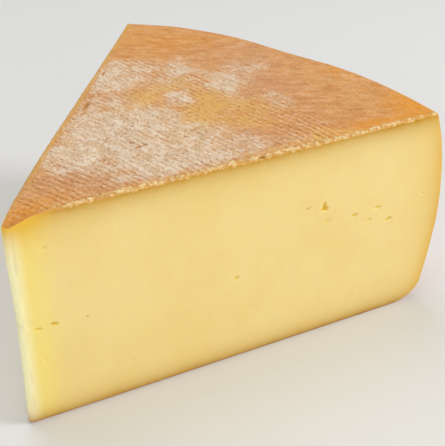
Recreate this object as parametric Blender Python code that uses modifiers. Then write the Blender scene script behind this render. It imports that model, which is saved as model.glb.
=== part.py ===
"""A wedge of raclette cheese: about a seventh of a round, with its washed rind.

Metres, +Z up. The wedge stands on the flat underside of the round. Its front cut face looks to -Y,
with the tip at the left and the heel, the round's own side, at the right.
"""

import math

import bmesh
import bpy
from mathutils import Vector, noise

MM = 0.001
NAME = "raclette_wedge"

# The round that the wedge was cut from
RIM_RADIUS = 148 * MM
HEIGHT = 75 * MM
HEEL_SWELL = 6.1 * MM
SWELL_HEIGHT = 40.5 * MM
SWELL_REACH_UP = HEIGHT - SWELL_HEIGHT
SWELL_REACH_DOWN = 43 * MM
SHOULDER_ROUND = 2.8 * MM
FOOT_ROUND_UP = 6 * MM
FOOT_ROUND_IN = 12.5 * MM
ROUND_STEPS = 144

# The two cuts, which meet at the middle of the round
WEDGE_ANGLE = math.radians(54)
TIP_ROUND = 2.0 * MM
CUT_REACH = 1.4 * RIM_RADIUS

# How far the real wedge strays from a perfect sector
TIP_SAG = 2.9 * MM
TIP_SAG_REACH = 7.8 * MM
RIM_RISE = 0.35 * MM
CORNER_RISE = 0.5 * MM
CORNER_RISE_START = 104 * MM
CORNER_RISE_LENGTH = 42 * MM
CORNER_RISE_DEPTH = 14 * MM
LEFT_EDGE_WEAR = 1.0 * MM
LEFT_EDGE_WEAR_FROM_TIP = 15 * MM
LEFT_EDGE_WEAR_LENGTH = 12 * MM
LEFT_EDGE_WEAR_WIDTH = 5 * MM
TIP_FOOT_LIFT = 0.5 * MM
TIP_FOOT_LIFT_REACH = 18 * MM
RIM_FULL = (2.3 * MM, math.radians(44), math.radians(11))
RIM_FLAT = (-2.0 * MM, math.radians(26.5), math.radians(6.5))
TIP_HOLLOW = 1.0 * MM
TIP_HOLLOW_HEIGHT = 38.5 * MM
TIP_HOLLOW_REACH_UP = 24 * MM
CUT_WAVE = 0.25 * MM
CUT_WAVE_LENGTH = 45 * MM
TOP_WAVE = 0.2 * MM
TOP_WAVE_LENGTH = 18 * MM
LIP_RISE = 0.5 * MM
LIP_WAVE_LENGTH = 4 * MM
LIP_WIDTH = 1.6 * MM

# Widths of the cells that carry the unevenness
CELL = 6 * MM
LIP_CELL = 2.4 * MM

# Eyes in the front cut face: distance from the tip line, height, length, height of the opening, depth, lean
EYES = (
    (105.8, 51.4, 1.9, 2.9, 2.4, 75),
    (106.4, 50.2, 2.7, 1.3, 1.8, 20),
    (99.3, 52.1, 1.1, 0.8, 0.7, 0),
    (117.7, 44.6, 2.4, 0.9, 1.2, -8),
    (127.3, 45.1, 3.2, 0.9, 1.2, 4),
    (132.1, 38.9, 2.8, 1.0, 1.2, 8),
    (123.7, 40.9, 2.6, 0.8, 0.8, 4),
    (73.8, 33.1, 2.1, 0.9, 1.2, 10),
    (13.0, 36.1, 2.6, 1.3, 1.4, -22),
    (7.8, 35.8, 2.8, 0.9, 0.9, -6),
    (23.0, 35.2, 0.9, 1.0, 0.7, 0),
)

# Pits and cracks in the top rind: x, y, length, width, depth, direction
RIND_CRACKS = (
    (51.6, 23.4, 4.6, 1.5, 1.1, -8),
    (50.6, 26.6, 5.6, 0.8, 0.7, 118),
    (54.2, 33.6, 1.7, 1.3, 0.7, 40),
    (108.2, 36.2, 2.4, 1.3, 0.9, 10),
    (47.4, 58.4, 5.2, 1.1, 1.0, 52),
    (44.2, 52.8, 2.4, 1.2, 0.9, 50),
    (61.2, 79.4, 3.6, 1.0, 0.9, 56),
)


def heel_radius(z):
    """Radius of the round's side at a height: widest a little above the middle."""
    reach = SWELL_REACH_UP if z > SWELL_HEIGHT else SWELL_REACH_DOWN
    return RIM_RADIUS + HEEL_SWELL * (1 - ((z - SWELL_HEIGHT) / reach) ** 2)


def round_profile():
    """Half of the round's upright section, from the middle of the top to the middle of the underside."""
    points = [(0, HEIGHT)]
    top_x = heel_radius(HEIGHT - SHOULDER_ROUND) - SHOULDER_ROUND
    for step in range(4):
        turn = math.radians(90 - 26 * step)
        points.append(
            (top_x + SHOULDER_ROUND * math.cos(turn), HEIGHT - SHOULDER_ROUND + SHOULDER_ROUND * math.sin(turn))
        )
    rows = 11
    for row in range(1, rows):
        z = HEIGHT - SHOULDER_ROUND - (HEIGHT - SHOULDER_ROUND - FOOT_ROUND_UP) * row / rows
        points.append((heel_radius(z), z))
    foot_x = heel_radius(FOOT_ROUND_UP) - FOOT_ROUND_IN
    for step in range(7):
        turn = math.radians(-15 * step)
        points.append((foot_x + FOOT_ROUND_IN * math.cos(turn), FOOT_ROUND_UP * (1 + math.sin(turn))))
    points.append((0, 0))
    return points


def new_object(name, data, collection):
    made = bpy.data.objects.new(name, data)
    collection.objects.link(made)
    return made


def hide_guide(guide):
    guide.hide_render = True
    guide.display_type = "WIRE"


def make_round(collection):
    """The whole round, turned about the Z axis."""
    shell = bmesh.new()
    ring = [shell.verts.new((x, 0, z)) for x, z in round_profile()]
    for upper, lower in zip(ring, ring[1:]):
        shell.edges.new((upper, lower))
    mesh = bpy.data.meshes.new("round")
    shell.to_mesh(mesh)
    shell.free()
    made = new_object("round", mesh, collection)
    screw = made.modifiers.new("turn", "SCREW")
    screw.axis = "Z"
    screw.steps = ROUND_STEPS
    screw.render_steps = ROUND_STEPS
    screw.use_merge_vertices = True
    screw.merge_threshold = 0.00005
    screw.use_normal_calculate = True
    return made


def make_sector(collection):
    """An upright block with the wedge's plan: two cuts at the wedge's angle and a blunt tip."""
    from_corner = TIP_ROUND / math.tan(WEDGE_ANGLE / 2)
    centre = Vector((from_corner, TIP_ROUND))
    start = -math.pi / 2
    sweep = -(math.pi - WEDGE_ANGLE)
    arc = []
    for step in range(6):
        turn = start + sweep * step / 5
        arc.append(centre + TIP_ROUND * Vector((math.cos(turn), math.sin(turn))))
    far_left = CUT_REACH * Vector((math.cos(WEDGE_ANGLE), math.sin(WEDGE_ANGLE)))
    outline = [Vector((CUT_REACH, 0)), *arc, far_left]

    curve = bpy.data.curves.new("sector outline", "CURVE")
    curve.dimensions = "2D"
    curve.fill_mode = "BOTH"
    curve.extrude = HEIGHT
    spline = curve.splines.new("POLY")
    spline.points.add(len(outline) - 1)
    for point, at in zip(spline.points, outline):
        point.co = (at.x, at.y, 0, 1)
    spline.use_cyclic_u = True
    guide = new_object("sector outline", curve, collection)
    block = solid_from(guide, "sector", collection)
    hide_guide(block)
    return block


def solid_from(source, name, collection):
    """A mesh object of what a curve or a modified object looks like, with its seams welded. The source goes."""
    bpy.context.view_layer.update()
    graph = bpy.context.evaluated_depsgraph_get()
    mesh = bpy.data.meshes.new_from_object(source.evaluated_get(graph))
    shell = bmesh.new()
    shell.from_mesh(mesh)
    bmesh.ops.remove_doubles(shell, verts=shell.verts, dist=0.00001)
    bmesh.ops.recalc_face_normals(shell, faces=shell.faces)
    shell.to_mesh(mesh)
    shell.free()
    made = new_object(name, mesh, collection)
    made.matrix_world = source.matrix_world
    bpy.data.objects.remove(source, do_unlink=True)
    return made


def slice_faces(shell, chosen, normal, positions):
    """Cut the chosen faces, and no others, by parallel planes."""
    for position in positions:
        faces = [face for face in shell.faces if chosen(face)]
        edges = {edge for face in faces for edge in face.edges}
        verts = {vert for face in faces for vert in face.verts}
        bmesh.ops.bisect_plane(
            shell,
            geom=[*verts, *edges, *faces],
            dist=1e-6,
            plane_co=Vector(normal) * position,
            plane_no=normal,
        )


def steps_between(low, high, width):
    count = max(1, round((high - low) / width))
    return [low + (high - low) * step / count for step in range(1, count)]


def looks_up(face):
    return face.normal.z > 0.9


def looks_down(face):
    return face.normal.z < -0.9


def is_front_cut(face):
    return face.normal.y < -0.97


def is_left_cut(face):
    outward = Vector((-math.sin(WEDGE_ANGLE), math.cos(WEDGE_ANGLE), 0))
    return face.normal.dot(outward) > 0.97


def is_wall(face):
    return abs(face.normal.z) < 0.5


def slice_wedge(shell):
    """Turn the flat faces into cells, so that they can be uneven. The underside stays flat but for its tip."""
    bmesh.ops.dissolve_limit(
        shell, angle_limit=math.radians(0.5), verts=shell.verts, edges=shell.edges
    )
    heel_x = RIM_RADIUS + HEEL_SWELL
    slice_faces(shell, is_wall, (0, 0, 1), steps_between(0, HEIGHT, CELL))
    slice_faces(shell, looks_up, (1, 0, 0), steps_between(0, heel_x, CELL))
    slice_faces(shell, looks_up, (0, 1, 0), steps_between(0, heel_x, CELL))
    slice_faces(shell, is_front_cut, (1, 0, 0), steps_between(0, heel_x, CELL))
    along_cut = (math.cos(WEDGE_ANGLE), math.sin(WEDGE_ANGLE), 0)
    slice_faces(shell, is_left_cut, along_cut, steps_between(0, heel_x, CELL))
    slice_faces(shell, looks_down, (1, 0, 0), steps_between(0, TIP_FOOT_LIFT_REACH * 3, TIP_FOOT_LIFT_REACH))
    slice_faces(shell, looks_down, (1, 0, 0), [TIP_FOOT_LIFT_REACH * 3])
    slice_front_lip(shell)


def slice_front_lip(shell):
    """Narrow cells along the top edge of the front cut, for its crumbly lip."""
    def near_lip(face):
        middle = face.calc_center_median()
        return middle.y < CELL / 2 and middle.z > HEIGHT - CELL / 2

    slice_faces(shell, looks_up, (0, 1, 0), [LIP_WIDTH])
    slice_faces(shell, is_front_cut, (0, 0, 1), [HEIGHT - LIP_WIDTH])

    def on_lip(face):
        middle = face.calc_center_median()
        return near_lip(face) and (middle.y < LIP_WIDTH and middle.z > HEIGHT - LIP_WIDTH)

    slice_faces(shell, on_lip, (1, 0, 0), steps_between(TIP_ROUND, RIM_RADIUS, LIP_CELL))


def bell(distance, reach):
    return math.exp(-((distance / reach) ** 2))


def rim_swell(turn):
    """How far the rim stands out of, or in from, a true circle, by its direction from the tip."""
    return sum(height * bell(turn - at, reach) for height, at, reach in (RIM_FULL, RIM_FLAT))


def top_rise(x, y):
    """How far the top stands above or below its plain height."""
    reach = math.hypot(x, y)
    rise = RIM_RISE * (reach / RIM_RADIUS) ** 6 - TIP_SAG * bell(reach, TIP_SAG_REACH)
    if x > CORNER_RISE_START:
        up = (x - CORNER_RISE_START) / CORNER_RISE_LENGTH
        rise += CORNER_RISE * min(up, 1) ** 2 * bell(y, CORNER_RISE_DEPTH)
    from_left_cut = x * math.sin(WEDGE_ANGLE) - y * math.cos(WEDGE_ANGLE)
    along_left_cut = x * math.cos(WEDGE_ANGLE) + y * math.sin(WEDGE_ANGLE)
    wear = bell(along_left_cut - LEFT_EDGE_WEAR_FROM_TIP, LEFT_EDGE_WEAR_LENGTH)
    rise -= LEFT_EDGE_WEAR * wear * bell(from_left_cut, LEFT_EDGE_WEAR_WIDTH)
    return rise + TOP_WAVE * noise.noise(Vector((x, y, 0)) / TOP_WAVE_LENGTH)


def lip_rise(x, y):
    """The lip that the knife leaves along the top edge of the front cut."""
    crumbs = 0.5 + noise.noise(Vector((x / LIP_WAVE_LENGTH, 0, 0)))
    return LIP_RISE * max(crumbs, 0) * bell(y, LIP_WIDTH)


def uneven(place):
    """Where a point of the perfect sector lies on the real wedge."""
    x, y, z = place
    turn = math.atan2(y, x)
    reach = math.hypot(x, y)
    share = z / HEIGHT
    stretch = 1 + rim_swell(turn) / RIM_RADIUS * (reach / RIM_RADIUS) ** 3 * (0.4 + 0.6 * share)
    x, y = x * stretch, y * stretch

    over = z - TIP_HOLLOW_HEIGHT
    hollow = max(0, 1 - (over / TIP_HOLLOW_REACH_UP if over > 0 else -over / TIP_HOLLOW_HEIGHT))
    x += TIP_HOLLOW * hollow * bell(reach, TIP_ROUND * 2)

    inward = CUT_WAVE * (1 + noise.noise(Vector((reach, 0, z)) / CUT_WAVE_LENGTH)) / 2
    middle = WEDGE_ANGLE / 2
    side = (turn - middle) / middle
    if abs(side) > 0.999 and reach < RIM_RADIUS - CELL:
        fade = math.sin(math.pi * min(share, 1)) * math.sin(math.pi * reach / RIM_RADIUS)
        x += inward * fade * (math.sin(WEDGE_ANGLE) if side > 0 else 0)
        y += inward * fade * (-math.cos(WEDGE_ANGLE) if side > 0 else 1)

    lift = TIP_FOOT_LIFT * bell(reach, TIP_FOOT_LIFT_REACH) * (1 - share) ** 8
    return Vector((x, y, z + lift + share**8 * (top_rise(x, y) + lip_rise(x, y))))


def make_cutter(collection, name, place, size, turn_axis, lean):
    """A pebble shape that presses an eye or a crack into the surface."""
    bpy.ops.mesh.primitive_ico_sphere_add(subdivisions=2, radius=0.5)
    cutter = bpy.context.object
    cutter.name = name
    for owner in list(cutter.users_collection):
        owner.objects.unlink(cutter)
    collection.objects.link(cutter)
    cutter.scale = size
    cutter.rotation_euler[turn_axis] = lean
    cutter.location = place
    hide_guide(cutter)
    return cutter


def make_cutters(collection):
    """Every eye, crack and nick, as one cutter each."""
    for number, (x, z, length, height, depth, lean) in enumerate(EYES):
        place = Vector((x, 0, z)) * MM
        size = Vector((length, 2 * depth, height)) * MM
        make_cutter(collection, f"eye_{number}", place, size, 1, -math.radians(lean))
    for number, (x, y, length, width, depth, lean) in enumerate(RIND_CRACKS):
        top = HEIGHT + top_rise(x * MM, y * MM)
        place = Vector((x * MM, y * MM, top))
        size = Vector((length, width, 2 * depth)) * MM
        make_cutter(collection, f"crack_{number}", place, size, 2, math.radians(lean))
    nick = Vector((TIP_ROUND * 0.75, TIP_ROUND * 0.2, TIP_HOLLOW_HEIGHT - MM))
    make_cutter(collection, "tip_nick", nick, Vector((3.4, 5.0, 1.6)) * MM, 1, math.radians(-12))


def stand_at_middle(shell):
    """Put the middle of the wedge's outer size over the origin."""
    low_x = min(vert.co.x for vert in shell.verts)
    high_x = max(vert.co.x for vert in shell.verts)
    low_y = min(vert.co.y for vert in shell.verts)
    high_y = max(vert.co.y for vert in shell.verts)
    middle = Vector((low_x + high_x, low_y + high_y, 0)) / 2
    bmesh.ops.translate(shell, verts=shell.verts, vec=-middle)
    print(f"tip corner at {-middle.x / MM:.2f}, {-middle.y / MM:.2f} mm")


def make_material(name, colour, roughness):
    material = bpy.data.materials.new(name)
    material.use_nodes = True
    shader = material.node_tree.nodes["Principled BSDF"]
    shader.inputs["Base Color"].default_value = (*colour, 1)
    shader.inputs["Roughness"].default_value = roughness
    shader.inputs["Metallic"].default_value = 0
    return material


def make_wedge(collection, cutters):
    wheel = make_round(collection)
    sector = make_sector(cutters)
    cut = wheel.modifiers.new("two cuts", "BOOLEAN")
    cut.operation = "INTERSECT"
    cut.object = sector
    wedge = solid_from(wheel, NAME, collection)

    shell = bmesh.new()
    shell.from_mesh(wedge.data)
    slice_wedge(shell)
    for vert in shell.verts:
        vert.co = uneven(vert.co)
    paste_faces = [face for face in shell.faces if is_front_cut(face) or is_left_cut(face)]
    for face in paste_faces:
        face.material_index = 1
    bmesh.ops.triangulate(shell, faces=shell.faces)
    shell.to_mesh(wedge.data)
    shell.free()

    wedge.data.materials.clear()
    wedge.data.materials.append(make_material("washed rind", (0.62, 0.33, 0.13), 0.7))
    wedge.data.materials.append(make_material("paste", (0.86, 0.68, 0.28), 0.5))
    return wedge


def press_marks(wedge, collection, marks):
    make_cutters(marks)
    press = wedge.modifiers.new("eyes and cracks", "BOOLEAN")
    press.operation = "DIFFERENCE"
    press.operand_type = "COLLECTION"
    press.collection = marks
    pressed = solid_from(wedge, NAME + "_pressed", collection)
    pressed.name = NAME
    shell = bmesh.new()
    shell.from_mesh(pressed.data)
    stand_at_middle(shell)
    shell.to_mesh(pressed.data)
    shell.free()
    return pressed


def main():
    for old in list(bpy.data.objects):
        bpy.data.objects.remove(old, do_unlink=True)
    scene_root = bpy.context.scene.collection
    collection = bpy.data.collections.new("raclette wedge")
    cutters = bpy.data.collections.new("cutters")
    marks = bpy.data.collections.new("eye and crack cutters")
    for made in (collection, cutters, marks):
        scene_root.children.link(made)
    wedge = make_wedge(collection, cutters)
    wedge = press_marks(wedge, collection, marks)
    print(f"{NAME}: {len(wedge.data.polygons)} faces")


main()
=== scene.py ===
# %% [markdown]
# # A wedge of raclette cheese
# Raclette is pressed in a round mould, washed with brine for months, and cut from the middle outwards.
# So one wedge shows two very different skins: a moist, pale yellow paste on the two cuts, and a dry,
# orange-brown rind on the top, the heel and the underside. This lesson turns the wedge, cuts its
# surface into cells, presses the cloth print, eyes and cracks into them, and then paints both skins.

import math

import bmesh
import bpy
from mathutils import Matrix, Vector, noise


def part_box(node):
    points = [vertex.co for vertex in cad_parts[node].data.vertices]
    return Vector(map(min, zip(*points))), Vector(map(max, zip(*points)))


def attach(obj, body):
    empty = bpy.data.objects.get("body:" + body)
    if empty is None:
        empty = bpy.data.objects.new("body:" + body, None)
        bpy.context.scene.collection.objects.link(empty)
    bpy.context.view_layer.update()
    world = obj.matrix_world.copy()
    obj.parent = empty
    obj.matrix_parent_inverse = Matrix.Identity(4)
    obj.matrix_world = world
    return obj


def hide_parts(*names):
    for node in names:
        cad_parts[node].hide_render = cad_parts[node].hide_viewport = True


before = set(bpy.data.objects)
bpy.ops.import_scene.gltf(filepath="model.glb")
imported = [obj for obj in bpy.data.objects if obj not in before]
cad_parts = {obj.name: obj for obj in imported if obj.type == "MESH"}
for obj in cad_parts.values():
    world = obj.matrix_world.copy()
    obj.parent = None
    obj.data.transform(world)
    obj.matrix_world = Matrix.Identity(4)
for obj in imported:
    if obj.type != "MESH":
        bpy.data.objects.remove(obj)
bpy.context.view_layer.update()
MM = 0.001

# %% [markdown]
# ## The sizes of the wedge
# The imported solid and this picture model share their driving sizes. The tip, where the two cuts meet,
# is the natural corner to measure from, so every place below is counted from it: x along the front
# cut, y behind it, z up. The finished mesh moves back to the solid's own frame in the last step.

# %% Driving sizes, from the tip
RIM_RADIUS = 148 * MM
HEIGHT = 75 * MM
HEEL_SWELL = 6.1 * MM
SWELL_HEIGHT = 40.5 * MM
SWELL_REACH_UP = HEIGHT - SWELL_HEIGHT
SWELL_REACH_DOWN = 43 * MM
SHOULDER_ROUND = 2.8 * MM
FOOT_ROUND_UP = 6 * MM
FOOT_ROUND_IN = 12.5 * MM
WEDGE_ANGLE = math.radians(54)
TIP_ROUND = 2 * MM

LEFT_ALONG = Vector((math.cos(WEDGE_ANGLE), math.sin(WEDGE_ANGLE), 0))
LEFT_INWARD = Vector((math.sin(WEDGE_ANGLE), -math.cos(WEDGE_ANGLE), 0))
TIP_TANGENT = TIP_ROUND / math.tan(WEDGE_ANGLE / 2)
TIP_CENTRE = Vector((TIP_TANGENT, TIP_ROUND, 0))


def from_left_cut(x, y):
    """How far a place in the plan lies inside the left cut."""
    return x * LEFT_INWARD.x + y * LEFT_INWARD.y


def along_left_cut(x, y):
    return x * LEFT_ALONG.x + y * LEFT_ALONG.y


node_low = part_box("raclette_wedge")[0]
TIP_CORNER = Vector((node_low.x - (TIP_TANGENT - TIP_ROUND), node_low.y, 0))
print("the tip corner stands at", [round(part / MM, 2) for part in TIP_CORNER], "mm")

# %% [markdown]
# ## Turning the round
# A round of cheese is a turned shape: half of its upright section, swept about the middle. Sweeping it
# by the wedge's angle alone gives the rind of this wedge in one go. The heel bulges, because the
# cheese sinks a little under its own weight in the mould, and the foot is rounder than the shoulder.

# %% The section of the round
HEEL_ROWS = 44
SHOULDER_STEPS = 6
FOOT_STEPS = 12
SHOULDER_TURN = math.radians(78)
FOOT_START = 10 * MM


def heel_radius(z):
    """Radius of the round's side at a height: widest a little above the middle."""
    reach = SWELL_REACH_UP if z > SWELL_HEIGHT else SWELL_REACH_DOWN
    return RIM_RADIUS + HEEL_SWELL * (1 - ((z - SWELL_HEIGHT) / reach) ** 2)


def foot_curve(start, corner, end):
    """Points of a curve that leaves the heel along its slope and meets the underside level."""
    for step in range(1, FOOT_STEPS + 1):
        t = step / FOOT_STEPS
        places = zip(start, corner, end)
        yield tuple(a * (1 - t) ** 2 + 2 * b * t * (1 - t) + c * t * t for a, b, c in places)


def round_section():
    """Points from the middle of the top, down the heel, to the middle of the underside."""
    points = [(0, HEIGHT)]
    shoulder_z = HEIGHT - SHOULDER_ROUND
    top_x = heel_radius(shoulder_z) - SHOULDER_ROUND
    for step in range(SHOULDER_STEPS + 1):
        turn = math.pi / 2 - SHOULDER_TURN * step / SHOULDER_STEPS
        x = top_x + SHOULDER_ROUND * math.cos(turn)
        points.append((x, shoulder_z + SHOULDER_ROUND * math.sin(turn)))
    for row in range(1, HEEL_ROWS + 1):
        z = shoulder_z - (shoulder_z - FOOT_START) * row / HEEL_ROWS
        points.append((heel_radius(z), z))
    foot_x = heel_radius(FOOT_ROUND_UP) - FOOT_ROUND_IN
    slope = (heel_radius(FOOT_START) - heel_radius(FOOT_START - MM)) / MM
    corner = (heel_radius(FOOT_START) - slope * FOOT_START, 0)
    points += foot_curve((heel_radius(FOOT_START), FOOT_START), corner, (foot_x, 0))
    points.append((0, 0))
    return points


# %% [markdown]
# `spin` sweeps the section. Its ends leave two open sides, which are the cuts of the knife: joining
# the top and bottom ends of the axis closes each loop, and `contextual_create` fills it with one face.
# The fan of triangles on the top and underside melts into one face each, ready to be cut into cells.

# %% Sweep the section and fill the two cuts
RIM_STEPS = 124
RIND, PASTE = 0, 1
ON_PLANE = 1e-6


def on_axis(vert):
    return vert.co.xy.length < ON_PLANE


def on_front_cut(vert):
    return abs(vert.co.y) < ON_PLANE


def on_left_cut(vert):
    return abs(vert.co.dot(LEFT_INWARD)) < ON_PLANE


def edges_where(shell, rule):
    return [edge for edge in shell.edges if all(rule(vert) for vert in edge.verts)]


def swept_sector():
    shell = bmesh.new()
    section = [shell.verts.new((x, 0, z)) for x, z in round_section()]
    edges = [shell.edges.new(pair) for pair in zip(section, section[1:])]
    bmesh.ops.spin(
        shell,
        geom=[*section, *edges],
        cent=(0, 0, 0),
        axis=(0, 0, 1),
        angle=WEDGE_ANGLE,
        steps=RIM_STEPS,
        use_merge=False,
    )
    bmesh.ops.remove_doubles(shell, verts=shell.verts, dist=ON_PLANE)
    for level in (HEIGHT, 0):
        flat = [face for face in shell.faces if all(abs(v.co.z - level) < ON_PLANE for v in face.verts)]
        bmesh.ops.dissolve_faces(shell, faces=flat, use_verts=False)
    shell.edges.new([vert for vert in shell.verts if on_axis(vert)])
    for on_cut in (on_front_cut, on_left_cut):
        for face in bmesh.ops.contextual_create(shell, geom=edges_where(shell, on_cut))["faces"]:
            face.material_index = PASTE
    bmesh.ops.recalc_face_normals(shell, faces=shell.faces)
    return shell


wedge = swept_sector()
litres = wedge.calc_volume() / (100 * MM) ** 3
print("swept sector:", len(wedge.faces), "faces,", round(litres, 4), "litres")

# %% [markdown]
# ## Blunting the tip and the knife's edges
# A cut through cheese is never razor sharp. The upright edge at the tip has a round of about 2 mm, and
# the rest of the cuts' outline a soft edge of half a millimetre. Both are bevels. The tip's comes
# first, so that the second one can run round it in one line.

# %% Bevel the tip and the outlines of the cuts
EDGE_SOFT = 0.5 * MM
EDGE_SEGMENTS = 2
TIP_SEGMENTS = 7


def bevel(shell, edges, offset, segments):
    made = bmesh.ops.bevel(
        shell,
        geom=edges,
        offset=offset,
        offset_type="OFFSET",
        affect="EDGES",
        segments=segments,
        profile=0.5,
        material=-1,
    )
    return made["faces"]


def soften_edges(shell):
    for face in bevel(shell, edges_where(shell, on_axis), TIP_TANGENT, TIP_SEGMENTS):
        face.material_index = PASTE
    outline = [e for e in shell.edges if len({face.material_index for face in e.link_faces}) == 2]
    bevel(shell, outline, EDGE_SOFT, EDGE_SEGMENTS)
    shell.normal_update()


soften_edges(wedge)
print("softened:", len(wedge.faces), "faces")

# %% [markdown]
# ## Cutting the surface into cells
# The cloth print has a ridge every 2 mm, so the top needs cells of under half a millimetre across the
# ridges. The smooth cuts need far fewer. `bisect_plane` only cuts the faces that it is given, so each
# face gets the cells that its own surface needs, and the mesh stays closed where they meet.

# %% Slice each face by parallel planes
TOP_CELL_ACROSS = 0.42 * MM
TOP_CELL_ALONG = 0.58 * MM
CUT_CELL = 0.95 * MM
LEFT_CELL = 1.8 * MM
FOOT_CELL = 4 * MM
LIP_BAND = 1.7 * MM
LIP_INSET = 2.6 * MM
LIP_CELL = 0.26 * MM
FACING = 0.98
X_WAY, Y_WAY, UP = (1, 0, 0), (0, 1, 0), (0, 0, 1)


def steps_between(low, high, width):
    count = max(1, round((high - low) / width))
    return [low + (high - low) * step / count for step in range(1, count)]


def slice_faces(shell, faces, normal, positions):
    """Cut the given faces by parallel planes: by the middle one first, and then each half by its own."""
    if not positions or not faces:
        return
    middle = len(positions) // 2
    geom = [*{v for f in faces for v in f.verts}, *{e for f in faces for e in f.edges}, *faces]
    cut = bmesh.ops.bisect_plane(
        shell, geom=geom, dist=1e-7, plane_co=Vector(normal) * positions[middle], plane_no=normal
    )
    halves = ([], [])
    for item in cut["geom"]:
        if isinstance(item, bmesh.types.BMFace):
            halves[item.calc_center_median().dot(Vector(normal)) > positions[middle]].append(item)
    slice_faces(shell, halves[0], normal, positions[:middle])
    slice_faces(shell, halves[1], normal, positions[middle + 1 :])


def faces_where(shell, rule):
    return [face for face in shell.faces if rule(face, face.calc_center_median())]


def is_front(face, middle):
    return face.normal.y < -FACING


def is_left(face, middle):
    return face.normal.dot(LEFT_INWARD) < -FACING


def is_tip(face, middle):
    near = (middle - TIP_CENTRE).xy.length < TIP_ROUND * 1.2
    return near and abs(face.normal.z) < 0.3 and middle.x < TIP_CENTRE.x


def is_top(face, middle):
    return face.normal.z > 0.1 and middle.z > HEIGHT - EDGE_SOFT


def is_foot(face, middle):
    return face.normal.z < -0.99


def is_front_or_tip(face, middle):
    return is_front(face, middle) or is_tip(face, middle)


def slice_all(shell):
    """Coarse faces first and the finest last, because each cut takes longer on a larger mesh."""
    far = RIM_RADIUS + HEEL_SWELL
    lip_line = HEIGHT - LIP_BAND

    def cut(rule, normal, positions):
        slice_faces(shell, faces_where(shell, rule), normal, positions)

    def on_band(face, middle):
        return is_front_or_tip(face, middle) and middle.z > lip_line

    def under_band(face, middle):
        return is_front_or_tip(face, middle) and middle.z < lip_line

    def in_lip(face, middle):
        return middle.z > lip_line and middle.y < LIP_INSET and middle.x < RIM_RADIUS

    def in_lip_or_top(face, middle):
        return is_top(face, middle) or in_lip(face, middle)

    for normal in (X_WAY, Y_WAY):
        cut(is_foot, normal, steps_between(0, far, FOOT_CELL))
    cut(is_left, UP, steps_between(0, HEIGHT, LEFT_CELL))
    cut(is_left, LEFT_ALONG, steps_between(0, far, LEFT_CELL))
    cut(is_front_or_tip, UP, [lip_line])
    cut(under_band, UP, steps_between(0, lip_line, CUT_CELL))
    below = [face for face in faces_where(shell, under_band) if is_front(face, None)]
    slice_faces(shell, below, X_WAY, steps_between(0, far, CUT_CELL))
    cut(on_band, UP, steps_between(lip_line, HEIGHT, LIP_CELL))

    cut(is_top, Y_WAY, [LIP_INSET])
    cut(is_top, Y_WAY, steps_between(EDGE_SOFT, LIP_INSET, LIP_CELL))
    columns = steps_between(0, far, TOP_CELL_ACROSS)
    cut(in_lip_or_top, X_WAY, columns)
    cut(in_lip, X_WAY, [(left + right) / 2 for left, right in zip(columns, columns[1:])])
    cut(is_top, Y_WAY, steps_between(LIP_INSET, far, TOP_CELL_ALONG))


slice_all(wedge)
print("sliced:", len(wedge.faces), "faces")

# %% [markdown]
# ## Where the marks are
# The eyes are small holes that gas left in the paste. Here they are few and only 1 to 4 mm long. In
# the rind are a few cracks and pits. Each mark is a named place and size, and the cells near a mark are
# divided into finer ones, because its rim is sharper than the cells are.

# %% Eyes and cracks, and finer cells for them
# Front cut: from the tip, height, length, height of the opening, depth, lean in degrees
EYES = (
    (105.8, 51.8, 2.9, 1.4, 1.2, 82),
    (105.9, 50.2, 3.4, 2.3, 1.2, 4),
    (99.0, 52.1, 1.2, 1.0, 0.6, 0),
    (100.0, 52.3, 1.0, 0.8, 0.5, 0),
    (118.0, 44.3, 3.0, 1.6, 0.8, 8),
    (127.2, 44.8, 4.0, 1.4, 0.7, 5),
    (132.3, 38.9, 3.6, 1.4, 0.8, 9),
    (123.8, 40.8, 3.8, 1.4, 0.5, 4),
    (73.8, 33.0, 2.6, 1.3, 0.8, 10),
    (13.0, 36.1, 3.0, 1.6, 1.0, -22),
    (7.8, 35.8, 3.2, 1.2, 0.6, -6),
    (12.4, 63.4, 2.4, 1.4, 0.35, 8),
    (23.0, 35.2, 1.3, 1.1, 0.5, 0),
    (146.0, 45.6, 2.8, 1.1, 0.35, 0),
    (107.2, 45.2, 4.4, 1.4, 0.4, 14),
    (9.0, 23.5, 2.0, 0.9, 0.25, 0),
    (36.5, 13.0, 1.8, 0.9, 0.25, 0),
)

# Left cut, which the photograph doesn't show: a few eyes of the same kind
LEFT_EYES = (
    (48.0, 40.5, 2.8, 1.3, 0.8, 6),
    (86.5, 46.0, 3.0, 1.5, 0.9, -8),
    (93.0, 42.0, 2.2, 1.1, 0.6, 4),
    (101.0, 33.5, 2.6, 1.2, 0.7, -5),
    (127.0, 37.0, 2.4, 1.1, 0.6, 9),
    (66.0, 24.5, 2.0, 1.0, 0.5, 0),
)

# Top rind: x, y, length, width, depth, direction in degrees
RIND_CRACKS = (
    (51.2, 23.4, 3.0, 1.9, 0.95, 20),
    (53.6, 23.8, 2.0, 1.5, 0.8, -40),
    (50.4, 26.8, 6.5, 0.7, 0.5, 117),
    (54.2, 33.6, 2.0, 1.4, 0.5, 40),
    (58.5, 27.5, 2.4, 0.9, 0.4, -20),
    (107.4, 36.2, 1.9, 1.4, 0.6, 10),
    (109.4, 36.6, 1.6, 1.2, 0.5, -10),
    (46.9, 57.6, 7.6, 1.8, 0.78, 57),
    (49.8, 63.2, 4.0, 1.2, 0.35, 62),
    (43.4, 52.2, 3.4, 1.5, 0.5, 45),
    (61.2, 79.4, 5.0, 1.4, 0.55, 60),
)

# The hole in the rind's edge: its middle, and its reach along x, y and z
LIP_HOLE = (82.2, 0.95, 75.1)
LIP_HOLE_REACH = (1.35, 0.9, 1.0)
LIP_HOLE_DEPTH = 1.2 * MM

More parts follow.
